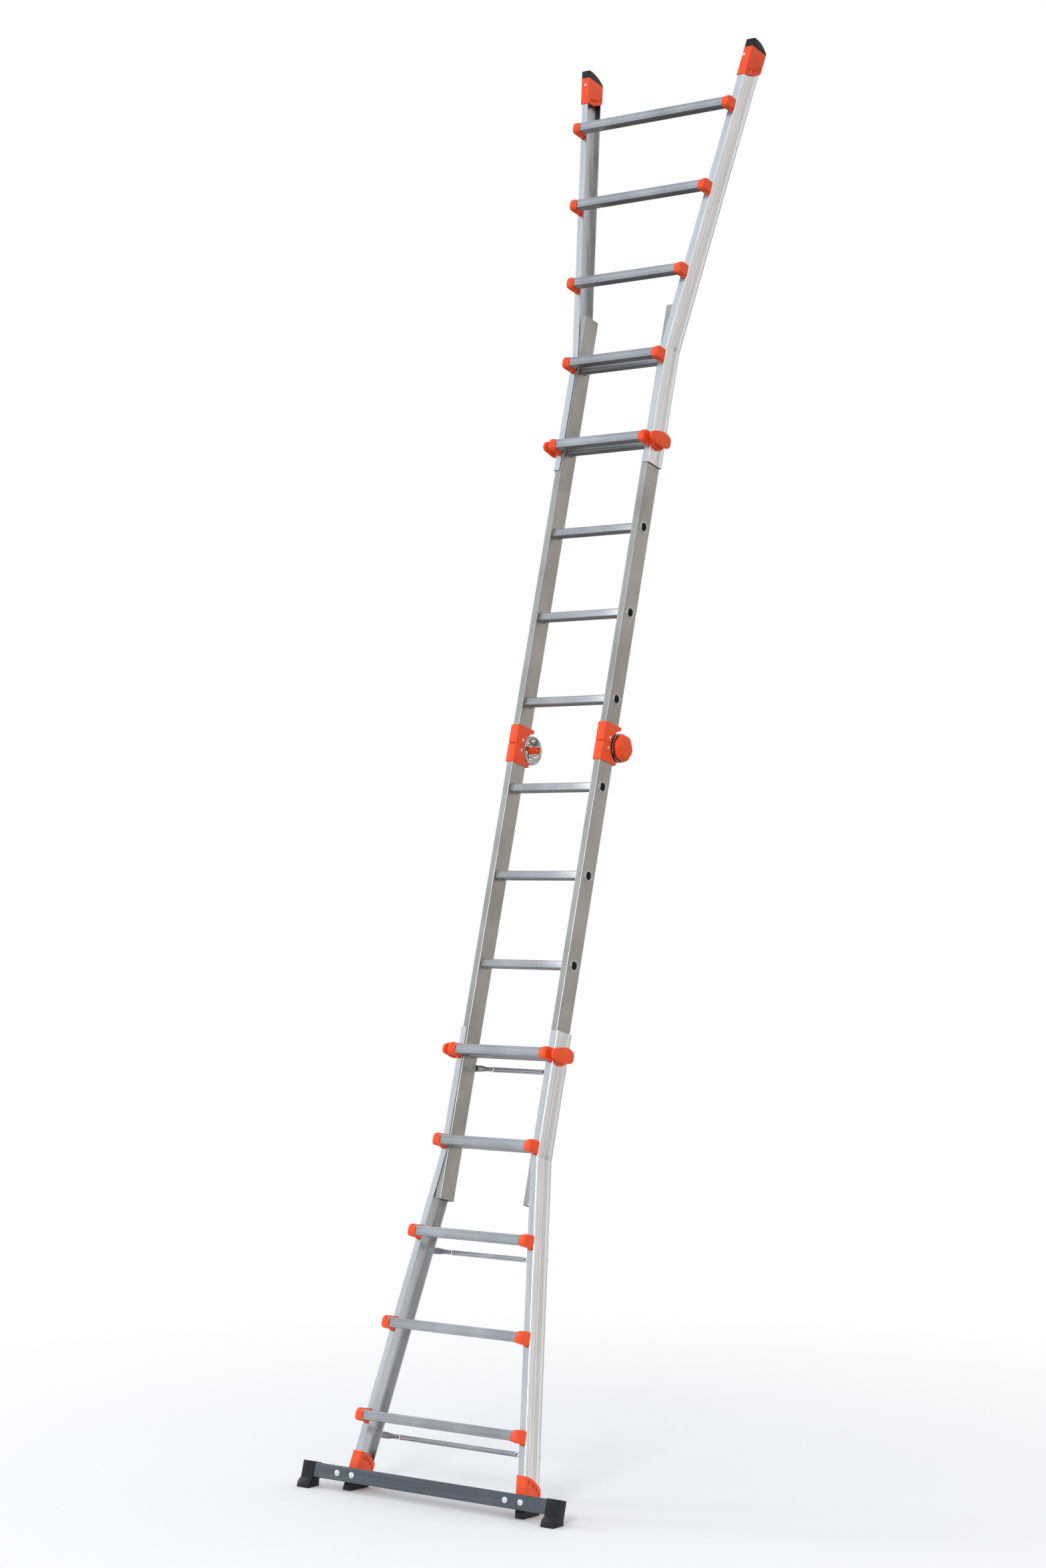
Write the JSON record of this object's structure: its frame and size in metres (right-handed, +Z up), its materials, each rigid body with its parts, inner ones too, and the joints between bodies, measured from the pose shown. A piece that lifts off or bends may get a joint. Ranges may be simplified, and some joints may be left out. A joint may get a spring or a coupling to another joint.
{
  "type": "extension ladder",
  "caption": "Hinged, telescoping aluminium ladder with flared outer sections, orange rung caps and boots, disc hinge locks and a stabiliser bar, leaning at full length.",
  "frame": {"origin": "on the floor at mid-width, where the line of the inner rails' front faces meets the floor, with the ladder leaning in its long position", "axes": "+X along the rungs to the right seen from the climbing side, +Y away from the climber towards the wall it leans on, +Z up"},
  "size_m": [0.978, 1.3201, 4.4946],
  "materials": {
    "bare_aluminium": "brushed",
    "rung_aluminium": "satin, ribbed",
    "inner_rail_aluminium": "satin",
    "zinc_steel": "bright zinc plated",
    "pressed_chrome": "polished",
    "orange_plastic": "satin moulded",
    "black_rubber": "matt",
    "slate_bar": "satin grey"
  },
  "bodies": {
    "lower_outer": {"lower_left_outer_rail": "bare_aluminium", "lower_right_outer_rail": "bare_aluminium", "lower_rung_1": "rung_aluminium", "lower_rung_2": "rung_aluminium", "lower_rung_3": "rung_aluminium", "lower_rung_4": "rung_aluminium", "lower_rung_5": "rung_aluminium", "lower_rung_caps": "orange_plastic", "lower_rung_rivets": "zinc_steel", "lower_boots": "orange_plastic", "lower_feet": "black_rubber", "lower_boot_screws": "zinc_steel", "stabiliser_bar": "slate_bar", "bar_feet": "black_rubber", "bar_bolts": "zinc_steel", "bar_clamps": "zinc_steel", "brace_rods": "bare_aluminium", "brace_rivets": "zinc_steel", "lower_lock_bushes": "orange_plastic"},
    "lower_inner": {"lower_left_inner_rail": "inner_rail_aluminium", "lower_right_inner_rail": "inner_rail_aluminium", "lower_inner_rungs": "inner_rail_aluminium", "lower_hinge_housings": "orange_plastic", "lower_housing_rivets": "zinc_steel", "lower_hinge_discs": "pressed_chrome", "hinge_bushes": "zinc_steel"},
    "upper_inner": {"upper_left_inner_rail": "inner_rail_aluminium", "upper_right_inner_rail": "inner_rail_aluminium", "upper_inner_rungs": "inner_rail_aluminium", "upper_hinge_housings": "orange_plastic", "upper_housing_rivets": "zinc_steel", "upper_hinge_dishes": "pressed_chrome"},
    "upper_outer": {"upper_left_outer_rail": "bare_aluminium", "upper_right_outer_rail": "bare_aluminium", "upper_rung_1": "rung_aluminium", "upper_rung_2": "rung_aluminium", "upper_rung_3": "rung_aluminium", "upper_rung_4": "rung_aluminium", "upper_rung_5": "rung_aluminium", "upper_rung_caps": "orange_plastic", "upper_rung_rivets": "zinc_steel", "upper_boots": "orange_plastic", "upper_end_caps": "black_rubber", "upper_boot_screws": "zinc_steel", "upper_lock_bushes": "orange_plastic"},
    "lower_left_lock": {"lower_left_lock_knob": "orange_plastic", "lower_left_lock_pin": "zinc_steel"},
    "lower_right_lock": {"lower_right_lock_knob": "orange_plastic", "lower_right_lock_pin": "zinc_steel"},
    "upper_left_lock": {"upper_left_lock_knob": "orange_plastic", "upper_left_lock_pin": "zinc_steel"},
    "upper_right_lock": {"upper_right_lock_knob": "orange_plastic", "upper_right_lock_pin": "zinc_steel"},
    "left_hinge_release": {"left_hinge_knob": "orange_plastic", "left_hinge_spindle": "orange_plastic", "left_release_plate": "pressed_chrome"},
    "right_hinge_release": {"right_hinge_knob": "orange_plastic", "right_hinge_spindle": "orange_plastic", "right_release_plate": "pressed_chrome"}
  },
  "joints": [
    {"name": "lower_extension", "type": "slide", "parent": "lower_outer", "child": "lower_inner", "axis": [0, -0.2588, -0.9659], "range_m": [0, 0.84]},
    {"name": "fold", "type": "hinge", "parent": "lower_inner", "child": "upper_inner", "pos_m": [0, 0.68869, 2.22248], "axis": [-1, 0, 0], "range_deg": [0, 180]},
    {"name": "upper_extension", "type": "slide", "parent": "upper_inner", "child": "upper_outer", "axis": [0, -0.2588, -0.9659], "range_m": [0, 0.84]},
    {"name": "lower_left_lock_pull", "type": "slide", "parent": "lower_outer", "child": "lower_left_lock", "axis": [-1, 0, 0], "range_m": [0, 0.01], "stiffness_N_per_m": 700, "springref_m": -0.01},
    {"name": "lower_right_lock_pull", "type": "slide", "parent": "lower_outer", "child": "lower_right_lock", "axis": [1, 0, 0], "range_m": [0, 0.01], "stiffness_N_per_m": 700, "springref_m": -0.01},
    {"name": "upper_left_lock_pull", "type": "slide", "parent": "upper_outer", "child": "upper_left_lock", "axis": [-1, 0, 0], "range_m": [0, 0.01], "stiffness_N_per_m": 700, "springref_m": -0.01},
    {"name": "upper_right_lock_pull", "type": "slide", "parent": "upper_outer", "child": "upper_right_lock", "axis": [1, 0, 0], "range_m": [0, 0.01], "stiffness_N_per_m": 700, "springref_m": -0.01},
    {"name": "left_hinge_release_push", "type": "slide", "parent": "lower_inner", "child": "left_hinge_release", "axis": [1, 0, 0], "range_m": [0, 0.006], "stiffness_N_per_m": 1500, "springref_m": -0.006},
    {"name": "right_hinge_release_push", "type": "slide", "parent": "lower_inner", "child": "right_hinge_release", "axis": [-1, 0, 0], "range_m": [0, 0.006], "stiffness_N_per_m": 1500, "springref_m": -0.006}
  ]
}
